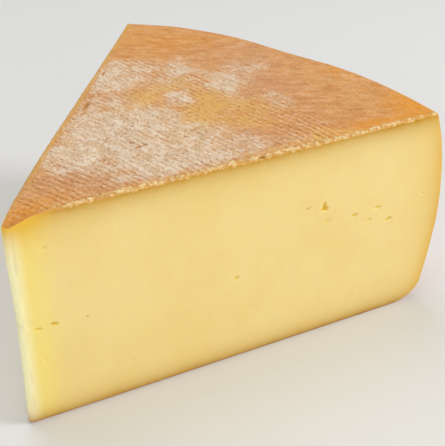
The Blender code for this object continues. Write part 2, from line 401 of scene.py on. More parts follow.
# Cuts of each cell near a mark in the front cut, the left cut and the rind, and how far round it in mm
MARK_CUTS = (3, 5, 1)
EYE_MARGIN, CRACK_MARGIN = 1.2, 0.8


def near_any(marks, across, up, margin):
    return any(
        math.hypot(across - at * MM, up - level * MM) < (size / 2 + margin) * MM
        for at, level, size, *_ in marks
    )


def near_front_eye(face, middle):
    return is_front(face, middle) and near_any(EYES, middle.x, middle.z, EYE_MARGIN)


def near_left_eye(face, middle):
    along = middle.dot(LEFT_ALONG)
    return is_left(face, middle) and near_any(LEFT_EYES, along, middle.z, EYE_MARGIN)


def near_crack(face, middle):
    return face.normal.z > 0.9 and near_any(RIND_CRACKS, middle.x, middle.y, CRACK_MARGIN)


def refine_marks(shell):
    for cuts, rule in zip(MARK_CUTS, (near_front_eye, near_left_eye, near_crack)):
        edges = list({edge for face in faces_where(shell, rule) for edge in face.edges})
        bmesh.ops.subdivide_edges(shell, edges=edges, cuts=cuts, use_grid_fill=True)


refine_marks(wedge)
print("with finer cells at the marks:", len(wedge.faces), "faces")

# %% [markdown]
# ## How the real wedge strays from a perfect sector
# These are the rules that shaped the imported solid: the top sags at the tip, the rim stands a little
# proud and isn't a true circle, and the cuts are not quite flat. Using the same rules here keeps the
# picture model on the solid.

# %% The wedge's own form
TIP_SAG = 2.9 * MM
TIP_SAG_REACH = 7.8 * MM
RIM_RISE = 0.35 * MM
CORNER_RISE = 0.5 * MM
CORNER_RISE_START = 104 * MM
CORNER_RISE_LENGTH = 42 * MM
CORNER_RISE_DEPTH = 14 * MM
LEFT_EDGE_WEAR = 1 * MM
LEFT_EDGE_WEAR_FROM_TIP = 15 * MM
LEFT_EDGE_WEAR_LENGTH = 12 * MM
LEFT_EDGE_WEAR_WIDTH = 5 * MM
TIP_FOOT_LIFT = 0.5 * MM
TIP_FOOT_LIFT_REACH = 18 * MM
RIM_FULL = (2.3 * MM, math.radians(44), math.radians(11))
RIM_FLAT = (-2 * MM, math.radians(26.5), math.radians(6.5))
TIP_HOLLOW = 1 * MM
TIP_HOLLOW_HEIGHT = 38.5 * MM
TIP_HOLLOW_REACH_UP = 24 * MM
CUT_WAVE = 0.25 * MM
CUT_WAVE_LENGTH = 45 * MM
CUT_WAVE_DEPTH = 3 * MM
TOP_WAVE = 0.2 * MM
TOP_WAVE_LENGTH = 18 * MM


def bell(distance, reach):
    return math.exp(-((distance / reach) ** 2))


def ease(value, low, high):
    """0 below low, 1 above high, and a soft step between them."""
    share = min(max((value - low) / (high - low), 0), 1)
    return share * share * (3 - 2 * share)


def rim_swell(turn):
    return sum(height * bell(turn - at, reach) for height, at, reach in (RIM_FULL, RIM_FLAT))


def top_rise(x, y):
    """How far the top stands above or below its plain height."""
    reach = math.hypot(x, y)
    rise = RIM_RISE * (reach / RIM_RADIUS) ** 6 - TIP_SAG * bell(reach, TIP_SAG_REACH)
    if x > CORNER_RISE_START:
        up = (x - CORNER_RISE_START) / CORNER_RISE_LENGTH
        rise += CORNER_RISE * min(up, 1) ** 2 * bell(y, CORNER_RISE_DEPTH)
    wear = bell(along_left_cut(x, y) - LEFT_EDGE_WEAR_FROM_TIP, LEFT_EDGE_WEAR_LENGTH)
    rise -= LEFT_EDGE_WEAR * wear * bell(from_left_cut(x, y), LEFT_EDGE_WEAR_WIDTH)
    return rise + TOP_WAVE * noise.noise(Vector((x, y, 0)) / TOP_WAVE_LENGTH)


def uneven(place):
    """Where a point of the perfect sector lies on the real wedge."""
    x, y, z = place
    turn = math.atan2(y, x)
    reach = math.hypot(x, y)
    share = z / HEIGHT
    stretch = 1 + rim_swell(turn) / RIM_RADIUS * (reach / RIM_RADIUS) ** 3 * (0.4 + 0.6 * share)
    x, y = x * stretch, y * stretch

    over = z - TIP_HOLLOW_HEIGHT
    hollow = max(0, 1 - (over / TIP_HOLLOW_REACH_UP if over > 0 else -over / TIP_HOLLOW_HEIGHT))
    x += TIP_HOLLOW * hollow * bell(reach, TIP_ROUND * 2)

    wave = CUT_WAVE * (1 + noise.noise(Vector((reach, 0, z)) / CUT_WAVE_LENGTH)) / 2
    wave *= math.sin(math.pi * min(share, 1)) * math.sin(math.pi * min(reach / RIM_RADIUS, 1))
    push = wave * bell(from_left_cut(x, y), CUT_WAVE_DEPTH)
    y += wave * bell(y, CUT_WAVE_DEPTH)
    x, y = x + push * LEFT_INWARD.x, y + push * LEFT_INWARD.y

    lift = TIP_FOOT_LIFT * bell(reach, TIP_FOOT_LIFT_REACH) * (1 - share) ** 8
    return Vector((x, y, z + lift + share**8 * top_rise(x, y)))


# %% [markdown]
# ## The cloth print
# While it is pressed, the cheese lies in a linen cloth, and the rind keeps its print: ridges about
# 2 mm apart that run from the front cut to the back, leaning to the left. Washing has worn the print
# away in places and left it crisp in others, so it has a strength that depends on the place. Near the
# tip the cross threads show as well. Past the print the rim is smooth.

# %% The cloth print
RIDGE_PITCH = 2.06 * MM
RIDGE_LEAN = math.radians(18.5)
RIDGE_ACROSS = Vector((math.cos(RIDGE_LEAN), math.sin(RIDGE_LEAN), 0))
RIDGE_ALONG = Vector((-math.sin(RIDGE_LEAN), math.cos(RIDGE_LEAN), 0))
TIP_LEAN = 0.14
TIP_LEAN_FROM = 45 * MM
TIP_LEAN_TO = 15 * MM
FRONT_LEAN = 0.14
FRONT_LEAN_REACH = 22 * MM
FRONT_LEAN_FROM = 85 * MM
FRONT_LEAN_TO = 110 * MM
WANDER = 0.9 * MM
WANDER_LENGTH = 24 * MM
FINE_WANDER = 0.3 * MM
FINE_WANDER_LENGTH = 5 * MM
CROSS_PITCH = 1.64 * MM
CROSS_LEAN = math.radians(-19)
CROSS_REACH = 34 * MM
CROSS_DEPTH = 0.55
WORN_ACROSS = 1.6 * MM
WORN_ALONG = 5 * MM

# Where the print is crisp, in mm from the tip: x, y, reach along x, reach along y, strength
PRINT_PATCHES = (
    (22, 9, 14, 12, 1.0),
    (48, 8, 13, 9, 0.8),
    (66, 8, 10, 10, 0.7),
    (105, 9, 9, 13, 1.0),
    (60, 24, 14, 10, 0.55),
    (94, 28, 12, 10, 0.65),
    (78, 50, 7, 8, 0.5),
    (95, 55, 11, 10, 0.65),
    (84, 72, 8, 8, 0.85),
    (74, 84, 8, 9, 0.8),
    (52, 40, 14, 12, 0.45),
    (62, 62, 12, 10, 0.35),
)
PATCH_END = 7
PRINT_EVERYWHERE = 0.22
SMOOTH_FROM = 104 * MM
SMOOTH_TO = 124 * MM
BACK_SMOOTH_FROM = 80 * MM
BACK_SMOOTH_TO = 95 * MM
SMOOTH_WANDER = 6 * MM
SMOOTH_WANDER_LENGTH = 11 * MM


def patch_strength(patches, x, y):
    """How strongly a place lies in any of the patches, from 0 to 1."""
    left_over = 1.0
    for at_x, at_y, reach_x, reach_y, strength in patches:
        away = ((x / MM - at_x) / reach_x) ** 2 + ((y / MM - at_y) / reach_y) ** 2
        if away < PATCH_END:
            left_over *= 1 - strength * math.exp(-away)
    return 1 - left_over


def ridge_count(x, y):
    """How many ridges lie between the tip and a place, whole on the top of a ridge."""
    place = Vector((x, y, 0))
    across = place.dot(RIDGE_ACROSS)
    across += TIP_LEAN * y * ease(-x, -TIP_LEAN_FROM, -TIP_LEAN_TO)
    behind_cut = FRONT_LEAN_REACH * (1 - math.exp(-y / FRONT_LEAN_REACH))
    across -= FRONT_LEAN * behind_cut * ease(x, FRONT_LEAN_FROM, FRONT_LEAN_TO)
    across += WANDER * noise.noise(place / WANDER_LENGTH)
    across += FINE_WANDER * noise.noise(place / FINE_WANDER_LENGTH)
    return across / RIDGE_PITCH


def rough_share(x, y):
    """1 where the cloth and the brush left the rind rough, 0 on the smooth rim."""
    edge = SMOOTH_WANDER * noise.noise(Vector((x, y, 5 * MM)) / SMOOTH_WANDER_LENGTH)
    past = ease(math.hypot(x, y) + edge, SMOOTH_FROM, SMOOTH_TO)
    back = ease(y + edge, BACK_SMOOTH_FROM, BACK_SMOOTH_TO)
    return (1 - past) * (1 - back)


def thread(count):
    return 0.5 + 0.5 * math.cos(math.tau * count)


def cloth_print(x, y):
    """Height of the print from 0 in its grooves to 1 on its ridges, and its strength."""
    place = Vector((x, y, 0))
    ridge = thread(ridge_count(x, y))
    across_cross = x * math.cos(CROSS_LEAN) + y * math.sin(CROSS_LEAN)
    near_tip = bell(math.hypot(x, y), CROSS_REACH)
    ridge = ridge**1.2 * (1 - CROSS_DEPTH * near_tip * (1 - thread(across_cross / CROSS_PITCH)))
    worn = Vector((place.dot(RIDGE_ACROSS) / WORN_ACROSS, place.dot(RIDGE_ALONG) / WORN_ALONG, 0))
    broken = 1 + 0.7 * noise.noise(worn)
    strength = PRINT_EVERYWHERE + (1 - PRINT_EVERYWHERE) * patch_strength(PRINT_PATCHES, x, y)
    return ridge, strength * broken * rough_share(x, y)


# %% [markdown]
# ## Grain, dashes and pits
# Between the ridges the brine brush left a grain: short dashes that follow the threads, and small
# pits a few millimetres apart. The smooth rim only has low, wide dents, which are lower still at its
# edge, so that its outline stays even.

# %% Grain and pits of the top
RIDGE_HEIGHT = 0.27 * MM
DASH_HEIGHT = 0.14 * MM
DASH_ACROSS = 0.6 * MM
DASH_ALONG = 1.25 * MM
GRAIN_HEIGHT = 0.14 * MM
GRAIN_LENGTH = 0.8 * MM
DENT_HEIGHT = 0.26 * MM
DENT_LENGTH = 6.5 * MM
RIM_CALM = 0.7
RIM_CALM_FROM = RIM_RADIUS - 14 * MM
RIM_CALM_TO = RIM_RADIUS - 2 * MM
PIT_SPACING = 2.2 * MM
PIT_RARITY = 0.0
PIT_DEPTH = 0.32 * MM
PIT_REACH = 0.5 * MM
CREST_SPAN = 0.5 * MM
RELIEF_START = 1.5 * MM


def dashes(x, y):
    """Noise of short dashes along the threads, from -1 to 1."""
    place = Vector((x, y, 0))
    across, along = place.dot(RIDGE_ACROSS) / DASH_ACROSS, place.dot(RIDGE_ALONG) / DASH_ALONG
    return noise.noise(Vector((across, along, 7)))


def pit_depth(x, y):
    """Small pits, from 0 to 1."""
    distances, points = noise.voronoi(Vector((x, y, 0)) / PIT_SPACING)
    if noise.noise(points[0] * 7.3) < PIT_RARITY:
        return 0.0
    return bell(distances[0] * PIT_SPACING, PIT_REACH)


def top_relief(x, y, inset):
    """Relief of the top rind along its normal, how far it stands out, and how hollow it is."""
    ridge, strength = cloth_print(x, y)
    rough = rough_share(x, y)
    away_from_cut = ease(inset, 0, RELIEF_START)
    place = Vector((x, y, 0))
    height = RIDGE_HEIGHT * (ridge - 0.45) * strength
    height += DASH_HEIGHT * dashes(x, y) * rough
    height += GRAIN_HEIGHT * noise.noise(place / GRAIN_LENGTH) * (0.25 + 0.75 * rough)
    height *= away_from_cut
    crest = 0.5 + height / CREST_SPAN
    lively = 1 - RIM_CALM * ease(place.length, RIM_CALM_FROM, RIM_CALM_TO)
    height += DENT_HEIGHT * noise.noise(place / DENT_LENGTH) * away_from_cut * lively
    pit = pit_depth(x, y) * rough * away_from_cut
    crack = cracks_depth(x, y)
    return height - PIT_DEPTH * pit - crack, crest, max(0.5 * pit, crack / MM)


# %% [markdown]
# ## Eyes, cracks and the crumbly lip
# An eye is a small, slanted pocket with a torn rim: its depth falls away from the middle, and noise
# bends its outline. Where the knife left through the rind, the edge crumbled into a light lip of
# bumps about two millimetres wide. Voronoi cells have just that look: round lumps with creases.

# %% Depth of a mark, and height of the lip
LIP_START = 6 * MM
LIP_FULL = 24 * MM
LIP_FADE_FROM = 118 * MM
LIP_FADE_TO = 150 * MM
LIP_FADED = 0.75
LIP_NARROWS = 0.4
LIP_AT_EDGE = 0.65
LIP_CREST = 1.1 * MM
LIP_DROP = 0.9 * MM
LIP_BACK = 2.2 * MM
CRUMB_SIZE = 1.15 * MM
CRUMB_HEIGHT = 0.5 * MM
CRUMB_MIDDLE = 0.3
# Share of the lip's value kept in the creases between crumbs, where the material then paints a golden
# shade, and the crumb height from which no shade is painted
SHADED_CREASE_LIP = 0.35
CRUMB_UNSHADED_FROM = 0.7
MARK_RAGGED = 0.28
MARK_RAGGED_LENGTH = 0.6 * MM


def mark_depth(across, up, size, height, depth, lean):
    """Depth of one eye or crack at a point given from its middle, in metres."""
    turn = math.radians(lean)
    along = (across * math.cos(turn) + up * math.sin(turn)) / (size * MM / 2)
    over = (up * math.cos(turn) - across * math.sin(turn)) / (height * MM / 2)
    if abs(along) > 2 or abs(over) > 2.5:
        return 0.0
    ragged = MARK_RAGGED * noise.noise(Vector((across, up, size * MM)) / MARK_RAGGED_LENGTH)
    away = math.hypot(along, over) + ragged
    return depth * MM * (1 - ease(away, 0.35, 1.05))


def eyes_depth(eyes, along, z):
    return max(mark_depth(along - at * MM, z - level * MM, *rest) for at, level, *rest in eyes)


def cracks_depth(x, y):
    return max(mark_depth(x - cx * MM, y - cy * MM, *rest) for cx, cy, *rest in RIND_CRACKS)


def lip_strength(x, inset, drop):
    """How crumbly the top edge of the front cut is: 1 on the crest of the lip, 0 away from it."""
    if drop > 1.6 * LIP_DROP or inset > 1.5 * LIP_BACK:
        return 0.0
    ragged = 0.75 * noise.noise(Vector((x / (1.7 * MM), 0, 0)))
    ragged += 0.4 * noise.noise(Vector((x / (7 * MM), 3, 0)))
    near_heel = ease(x, LIP_FADE_FROM, LIP_FADE_TO)
    width = LIP_BACK * (1 - LIP_NARROWS * near_heel)
    down = 1 - ease(drop / LIP_DROP + ragged, 0.4, 1.1)
    back = 1 - ease(inset / width + 0.6 * ragged, 0.6, 1.2)
    at_edge = LIP_AT_EDGE + (1 - LIP_AT_EDGE) * near_heel
    crest = at_edge + (1 - at_edge) * ease(inset, 0, LIP_CREST)
    along = ease(x, LIP_START, LIP_FULL) * (1 - (1 - LIP_FADED) * near_heel)
    return along * down * back * crest


def crumb_top(place):
    """1 on the top of a crumb, 0 in the creases between crumbs. Crumbs differ in size."""
    distances, points = noise.voronoi(place / CRUMB_SIZE)
    fullness = 0.8 + 0.5 * noise.noise(points[0] * 3.7)
    return max(0.0, fullness - 1.15 * distances[0] ** 1.5)


def lip_hole_share(x, y, z):
    """1 in the middle of the hole in the rind's edge, 0 outside it."""
    sides = zip((x, y, z), LIP_HOLE, LIP_HOLE_REACH)
    away = math.hypot(*((value / MM - at) / reach for value, at, reach in sides))
    return 1 - ease(away, 0.45, 1.1)


# %% [markdown]
# ## The zones of the rind
# The rind isn't one colour. A greyish white bloom lies over the middle, a ring of ochre shows where it
# was rubbed off, and towards the rim the rind is smooth and orange. Each zone is a few soft patches,
# stored on the mesh as a value from 0 to 1, so that the material can read where it is.

# %% Patches of bloom, ochre, orange and pink, in mm from the tip
BLOOM_PATCHES = (
    (51, 34, 18, 15, 0.9),
    (30, 26, 10, 9, 0.58),
    (38, 50, 5, 4, 0.25),
    (47, 59, 5, 4, 0.25),
    (58, 13, 20, 10, 0.85),
    (70, 25, 9, 8, 0.7),
    (43, 46, 10, 8, 0.35),
    (56, 56, 7, 5, 0.35),
    (60, 73, 9, 9, 0.75),
    (72, 78, 8, 7, 0.42),
    (87, 69, 6, 4, 0.75),
    (96, 53, 7, 8, 0.62),
    (77, 50, 4, 6, 0.8),
    (78, 62, 14, 9, 0.3),
    (106, 34, 6, 6, 0.35),
    (106, 60, 8, 8, 0.3),
    (86, 75, 6, 5, 0.3),
    (66, 41, 6, 5, 0.45),
    (97, 41, 5, 4, 0.15),
    (85, 11, 9, 7, 0.12),
    (98, 5, 7, 4, 0.3),
    (72, 6, 15, 3.5, 0.5),
    (42, 5.5, 10, 3, 0.35),
    (66, 84, 6, 5, 0.3),
    (96, 76, 6, 5, 0.12),
    (112, 22, 6, 10, 0.12),
    (116, 64, 8, 8, 0.2),
    (136.5, 38, 1.7, 5, 0.2),
    (139, 30, 1.7, 5, 0.18),
)
OCHRE_PATCHES = (
    (66, 53, 6, 8, 0.7),
    (77, 59, 8, 4, 0.75),
    (86, 47, 5, 9, 0.7),
    (77, 33, 6, 8, 0.95),
    (77, 30, 5, 5, 0.6),
    (84, 38, 8, 7, 0.7),
    (90, 24, 9, 6, 0.65),
    (60, 24, 8, 4, 0.35),
    (68, 13, 8, 11, 0.32),
    (68, 26, 6, 6, 0.45),
    (56, 50, 5, 4, 0.4),
    (54, 28, 5, 4, 0.45),
    (97, 33, 8, 6, 0.6),
    (36, 48, 5, 3, 0.5),
    (106, 4, 12, 5, 0.55),
    (94, 3, 14, 2.5, 0.45),
    (62, 2.2, 18, 1.8, 0.3),
)
ORANGE_PATCHES = (
    (144, 8, 9, 13, 0.95),
    (126, 2, 24, 5, 0.75),
    (137, 43, 4, 9, 0.45),
    (8, 4, 11, 6, 0.85),
    (98, 92, 16, 8, 0.35),
    (84, 104, 12, 14, 0.35),
)
PINK_PATCHES = (
    (24, 13, 9, 7, 0.6),
    (36, 12, 9, 8, 0.6),
    (47, 56, 6, 6, 0.7),
    (56, 62, 6, 6, 0.35),
    (85, 11, 8, 6, 0.8),
    (106, 55, 12, 18, 0.5),
    (110, 40, 10, 10, 0.4),
    (116, 70, 12, 14, 0.4),
)
ZONE_WANDER = 3.6 * MM
ZONE_WANDER_LENGTH = 7 * MM
ZONE_SEED = 3
OCHRE_BARES = 0.62
# A band of ochre along the edge of the left cut
LEFT_BAND = 1.7 * MM
LEFT_BAND_START = 10 * MM
LEFT_BAND_FULL = 22 * MM
LEFT_BAND_OCHRE = 0.85
LEFT_BAND_BARES = 0.6

# Noise of whole vectors needs a seed, or the borders wander otherwise each run
noise.seed_set(ZONE_SEED)


def zones_at(x, y):
    """Bloom, ochre, orange and pink at a place on the top, each from 0 to 1, with wandering borders."""
    place = Vector((x, y, 0)) / ZONE_WANDER_LENGTH
    shift = noise.noise_vector(place) * ZONE_WANDER
    shift += noise.noise_vector(place * 3.1) * ZONE_WANDER * 0.6
    moved = (x + shift.x, y + shift.y)
    bloom, ochre, orange, pink = (
        patch_strength(patches, *moved)
        for patches in (BLOOM_PATCHES, OCHRE_PATCHES, ORANGE_PATCHES, PINK_PATCHES)
    )
    ragged = 1 + 0.5 * noise.noise(place * 2)
    band = bell(from_left_cut(x, y) * ragged, LEFT_BAND) * ease(x, LEFT_BAND_START, LEFT_BAND_FULL)
    ochre = max(ochre, LEFT_BAND_OCHRE * band)
    return bloom * (1 - OCHRE_BARES * ochre) * (1 - LEFT_BAND_BARES * band), ochre, orange, pink


# %% [markdown]
# ## Shaping every point
# Now each point moves from the perfect sector to the real wedge, and then along its own normal by the
# fine relief. At the same time the mesh remembers what it is at that point: rind or paste, ridge,
# lip, pit and colour zone. The first decides each face's material. The others let the materials follow
# the modelled shape exactly.

# %% Move the points and store what each one is
LOOK_ATTRIBUTES = ("crest", "lip", "hollow", "bloom", "ochre", "orange", "pink")
ATTRIBUTES = ("rind", *LOOK_ATTRIBUTES)
TIP_NICK_HEIGHT = 38.2 * MM
TIP_NICK_DEPTH = 1 * MM
TIP_NICK_REACH = 0.9 * MM
LEFT_LIP_SHARE = 0.4
HEEL_LUMP = 0.3 * MM
HEEL_LUMP_LENGTH = 9 * MM
HEEL_ORANGE = 0.45
PASTE_GRAIN = 0.05 * MM
PASTE_GRAIN_LENGTH = 2.4 * MM
CORNER_ROUND = 0.8 * MM


def inset_of(x, y):
    """How far a place lies inside the outline of the two cuts, whose corner is rounded."""
    if x < TIP_TANGENT and along_left_cut(x, y) < TIP_TANGENT:
        return TIP_ROUND - math.hypot(x - TIP_CENTRE.x, y - TIP_CENTRE.y)
    return min(y, from_left_cut(x, y))


def rounded_corner(place):
    """Round the upright corners where a cut meets the heel, as fingers and paper wear them."""
    reach = math.hypot(place.x, place.y)
    from_heel = heel_radius(min(max(place.z, FOOT_START), HEIGHT - SHOULDER_ROUND)) - reach
    if from_heel > CORNER_ROUND:
        return place
    outward = Vector((place.x, place.y, 0)) / reach
    for inward in (Vector((0, 1, 0)), LEFT_INWARD):
        from_cut = place.dot(inward)
        if from_cut > CORNER_ROUND:
            continue
        near = min(max(from_cut, 0), max(from_heel, 0))
        turn = math.pi / 4 * (1 - max(from_cut, from_heel) / CORNER_ROUND)
        shallow, deep = CORNER_ROUND * (1 - math.cos(turn)), CORNER_ROUND * (1 - math.sin(turn))
        new_cut, new_heel = (shallow, deep) if from_cut < from_heel else (deep, shallow)
        new_cut, new_heel = new_cut + near * math.cos(turn), new_heel + near * math.cos(turn)
        place = place + inward * (new_cut - from_cut) - outward * (new_heel - from_heel)
    return place


def paste_grain(place):
    return PASTE_GRAIN * noise.noise(place / PASTE_GRAIN_LENGTH)


def shape_point(vert):
    """New place of one point, and its attribute values."""
    x, y, z = vert.co
    values = dict.fromkeys(ATTRIBUTES, 0.0)
    values["crest"] = 0.5
    inset = inset_of(x, y)
    values["rind"] = ease(inset, 0, EDGE_SOFT)
    place, normal = uneven(rounded_corner(vert.co)), vert.normal.copy()
    drop = HEIGHT - z
    relief = 0.0
    if z > HEIGHT - EDGE_SOFT and inset > ON_PLANE:
        relief, values["crest"], values["hollow"] = top_relief(x, y, inset)
        values.update(zip(("bloom", "ochre", "orange", "pink"), zones_at(x, y)))
    elif inset > ON_PLANE:
        lump = noise.noise(place / HEEL_LUMP_LENGTH)
        lump += 0.4 * noise.noise(place / (HEEL_LUMP_LENGTH / 3))
        relief = HEEL_LUMP * lump * ease(z, 0, FOOT_ROUND_UP) * ease(drop, 0, SHOULDER_ROUND)
        values["orange"] = HEEL_ORANGE
    elif y < TIP_ROUND:
        hole = eyes_depth(EYES, x, z)
        nick = TIP_NICK_DEPTH * bell(z - TIP_NICK_HEIGHT, TIP_NICK_REACH)
        nick *= bell(math.hypot(x, y), 2 * TIP_ROUND)
        relief = paste_grain(place) - hole - nick
        values["hollow"] = hole / MM + 0.3 * nick / MM
    else:
        hole = eyes_depth(LEFT_EYES, along_left_cut(x, y), z)
        relief = paste_grain(place) - hole
        values["hollow"] = hole / MM
    if y < 2 * LIP_BACK:
        lip = lip_strength(x, inset, drop)
    else:
        lip = LEFT_LIP_SHARE * lip_strength(LIP_FULL + x, inset, drop)
    if drop < LIP_BAND and inset < LIP_INSET:
        hole = lip_hole_share(x, y, z)
        relief -= LIP_HOLE_DEPTH * hole
        lip *= 1 - hole
        values["hollow"] = max(values["hollow"], hole)
    if lip > 0:
        # The lip's value drops in the creases between crumbs, where the material paints a golden shade
        crumb = crumb_top(Vector((x, y, z)))
        light = SHADED_CREASE_LIP + (1 - SHADED_CREASE_LIP) * min(1, crumb / CRUMB_UNSHADED_FROM)
        values["lip"] = lip * light
        relief += CRUMB_HEIGHT * lip * (crumb - CRUMB_MIDDLE)
    return place + normal * relief, values


def shape_all(shell):
    layers = {name: shell.verts.layers.float.new(name) for name in ATTRIBUTES}
    shell.normal_update()
    for vert, (place, values) in [(vert, shape_point(vert)) for vert in shell.verts]:
        vert.co = place + TIP_CORNER
        for name, layer in layers.items():
            vert[layer] = values[name]
    rind_layer = layers["rind"]
    for face in shell.faces:
        share = sum(vert[rind_layer] for vert in face.verts) / len(face.verts)
        face.material_index = RIND if share > 0.5 else PASTE
        face.smooth = True


shape_all(wedge)
lowest = min(vert.co.z for vert in wedge.verts)
print("shaped:", len(wedge.verts), "points, lowest at", round(lowest / MM, 3), "mm")

# %% [markdown]
# ## A material kit
# Both skins are built from the same few nodes: noise at a stated size, a soft threshold, and colours
# mixed one over another. Short helpers keep each recipe readable. Colours are given as they look on a
# screen and turned into the linear values that the shader works with.

# %% Helpers for materials
MOIST_IOR = 1.42


def seen(red, green, blue):
    """The linear colour for one given as it looks, in steps of 255."""
    shares = [part / 255 for part in (red, green, blue)]
    linear = [((s + 0.055) / 1.055) ** 2.4 if s > 0.04 else s / 12.92 for s in shares]
    return [*linear, 1]


class Recipe:
    """A material being built, with one short call for each kind of node."""

    def __init__(self, name):
        self.material = bpy.data.materials.new(name)
        self.material.use_nodes = True
        self.nodes = self.material.node_tree.nodes
        self.links = self.material.node_tree.links
        self.shader = self.nodes["Principled BSDF"]
        self.place = self.node("TexCoord").outputs["Object"]

    def node(self, kind, **values):
        """A new node, with plain values for some of its inputs."""
        node = self.nodes.new("ShaderNode" + kind)
        for name, value in values.items():
            node.inputs[name].default_value = value
        return node

    def join(self, value, socket):
        """Link a socket, or set a plain value."""
        if isinstance(value, bpy.types.NodeSocket):
            self.links.new(value, socket)
        else:
            socket.default_value = value

    def attributes(self, *names):
        for name in names:
            node = self.node("Attribute")
            node.attribute_name = name
            yield node.outputs["Fac"]

    def noise(self, size, detail=3, roughness=0.55, stretch=1.0, turn=0.0):
        """Noise whose lumps are about this size in metres, drawn out along a direction in the plan."""
        mapping = self.node("Mapping", Rotation=(0, 0, turn), Scale=(stretch, 1, 1))
        mapping.vector_type = "TEXTURE"
        self.links.new(self.place, mapping.inputs["Vector"])
        node = self.node("TexNoise", Scale=1 / size, Detail=detail, Roughness=roughness)
        self.links.new(mapping.outputs["Vector"], node.inputs["Vector"])
        return node.outputs["Fac"]

    def math(self, operation, first, second=0.0, third=0.0):
        node = self.node("Math")
        node.operation = operation
        for value, socket in zip((first, second, third), node.inputs):
            self.join(value, socket)
        return node.outputs["Value"]

    def times(self, first, second):
        return self.math("MULTIPLY", first, second)

    def plus(self, first, second):
        return self.math("ADD", first, second)

    def centred(self, value, span):
        """Noise, which lies round a half, moved and stretched to lie round zero."""
        return self.math("MULTIPLY_ADD", value, span, -span / 2)

    def spread(self, value, low, high, to_low=0.0, to_high=1.0):
        """Map low to high onto a new range, with a soft start and end."""
        ends = {"From Min": low, "From Max": high, "To Min": to_low, "To Max": to_high}
        node = self.node("MapRange", **ends)
        node.interpolation_type = "SMOOTHSTEP"
        self.join(value, node.inputs["Value"])
        return node.outputs["Result"]

    def mix(self, share, under, over):
        """One colour over another. The node has sockets of every type, so the colour ones are picked."""
        node = self.node("Mix")
        node.data_type = "RGBA"
        sockets = {(socket.name, socket.type): socket for socket in node.inputs}
        self.join(share, sockets["Factor", "VALUE"])
        self.join(under, sockets["A", "RGBA"])
        self.join(over, sockets["B", "RGBA"])
        return next(socket for socket in node.outputs if socket.type == "RGBA")

    def lay(self, share, over):
        """Lay one more colour over the material's colour so far."""
        self.colour = self.mix(share, self.colour, over)

    def fade(self, distance, reach, start=1.0):
        """A share that falls off with distance from a skin, for the darker paste and the painted shade
        near the rind.
        """
        falling = self.math("EXPONENT", self.math("DIVIDE", self.math("MAXIMUM", distance, 0.0), -reach))
        return self.times(falling, start)

    def axis(self, name):
        """One coordinate of the surface, in metres."""
        node = self.node("SeparateXYZ")
        self.links.new(self.place, node.inputs["Vector"])
        return node.outputs[name]

    def bump(self, height, distance):
        node = self.node("Bump", Distance=distance)
        self.join(height, node.inputs["Height"])
        return node.outputs["Normal"]

    def let_light_in(self, weight, radius, scale):
        self.shader.inputs["Subsurface Weight"].default_value = weight
        self.shader.inputs["Subsurface Radius"].default_value = radius
        self.shader.inputs["Subsurface Scale"].default_value = scale

    def finish(self, roughness, normal):
        self.join(self.colour, self.shader.inputs["Base Color"])
        self.join(roughness, self.shader.inputs["Roughness"])
        self.links.new(normal, self.shader.inputs["Normal"])
        self.shader.inputs["IOR"].default_value = MOIST_IOR
        return self.material


print("material kit ready")

# %% [markdown]
# ## The washed rind
# From below upwards: a tan skin, deeper orange at the rim, pinkish and ochre stains, then the dry
# whitish bloom, which settles on the ridges of the cloth print and stays out of the grooves. Grooves,
# pits and cracks are a darker brown and the ridge tops lighter, partly their own colour and partly
# painted shade and painted highlight of the relief; the deepest cracks get a dark painted shade.
# The bloom makes the surface rougher, and the rim is a bit greasy.

# %% Washed rind material
CRUMB_CREAM = seen(246, 217, 156)
CRUMB_SHADE_GOLD = seen(214, 160, 80)
THREAD_TURN = RIDGE_LEAN + math.pi / 2


def crumbs_over(kit, lip):
    """The crumbled lip: cream on top of the crumbs, with a painted golden shade between them and round
    the lip's edge.
    """
    kit.lay(kit.spread(lip, 0.05, 0.4, 0, 0.75), CRUMB_SHADE_GOLD)
    kit.lay(kit.spread(lip, 0.3, 0.95), CRUMB_CREAM)


